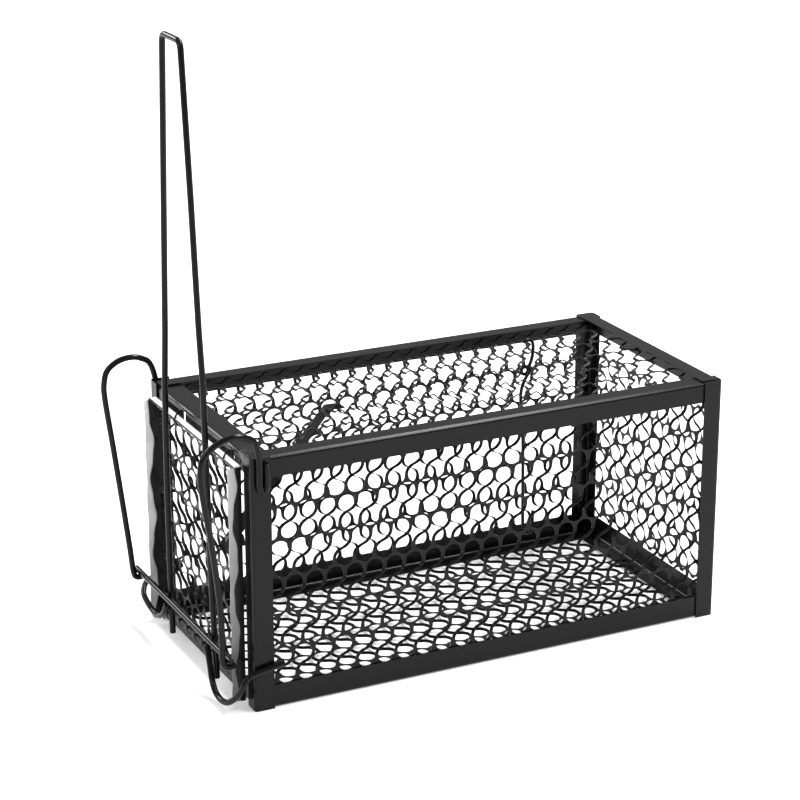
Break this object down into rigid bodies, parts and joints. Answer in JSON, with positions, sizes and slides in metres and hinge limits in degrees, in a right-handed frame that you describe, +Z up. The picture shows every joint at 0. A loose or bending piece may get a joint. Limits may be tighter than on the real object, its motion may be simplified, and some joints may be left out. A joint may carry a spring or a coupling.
{
  "type": "live catch trap",
  "caption": "Long cage of sheet-metal angles and expanded mesh with a top-hung sprung door, a tall wire lever and a bait trigger.",
  "frame": {"origin": "on the floor, below the middle of the trap's bounding box", "axes": "+X from the door to the back of the cage, +Y to the far side, +Z up"},
  "size_m": [0.2872, 0.1372, 0.3173],
  "materials": {
    "black_enamel": "gloss black stoving enamel",
    "black_mesh": "gloss black paint on slit and stretched sheet",
    "black_wire": "gloss black paint on spring wire",
    "bright_sheet": "bare bright sheet on the door's side flanges"
  },
  "bodies": {
    "cage": {"door_header": "black_enamel", "door_sill": "black_enamel", "far_bottom_rail": "black_enamel", "far_front_post": "black_enamel", "far_rear_post": "black_enamel", "far_side_mesh": "black_mesh", "far_spring": "black_wire", "far_top_rail": "black_enamel", "floor_mesh": "black_mesh", "inner_strap": "black_enamel", "near_bottom_rail": "black_enamel", "near_front_post": "black_enamel", "near_rear_post": "black_enamel", "near_side_mesh": "black_mesh", "near_spring": "black_wire", "near_top_rail": "black_enamel", "rear_bottom_rail": "black_enamel", "rear_mesh": "black_mesh", "rear_top_strip": "black_enamel", "top_mesh": "black_mesh"},
    "door": {"door_mesh": "black_mesh", "near_door_flange": "bright_sheet", "far_door_flange": "bright_sheet", "near_door_hem": "black_mesh", "far_door_hem": "black_mesh", "door_top_lip": "black_enamel", "cross_bar": "black_wire", "lever": "black_wire", "near_catch_loop": "black_wire", "far_catch_loop": "black_wire", "near_hinge_ring": "black_wire", "far_hinge_ring": "black_wire"},
    "trigger": {"bait_trigger": "black_wire"}
  },
  "joints": [
    {"name": "door_hinge", "type": "hinge", "parent": "cage", "child": "door", "pos_m": [-0.11632, 0, 0.131], "axis": [0, 1, 0], "range_deg": [0, 87], "stiffness_Nm_per_rad": 0.12, "springref_deg": -34.38, "deforming": ["near_spring", "far_spring"]},
    {"name": "trigger_pivot", "type": "hinge", "parent": "cage", "child": "trigger", "pos_m": [0.06527, 0, 0.127], "axis": [0, 1, 0], "range_deg": [-25, 25]}
  ]
}
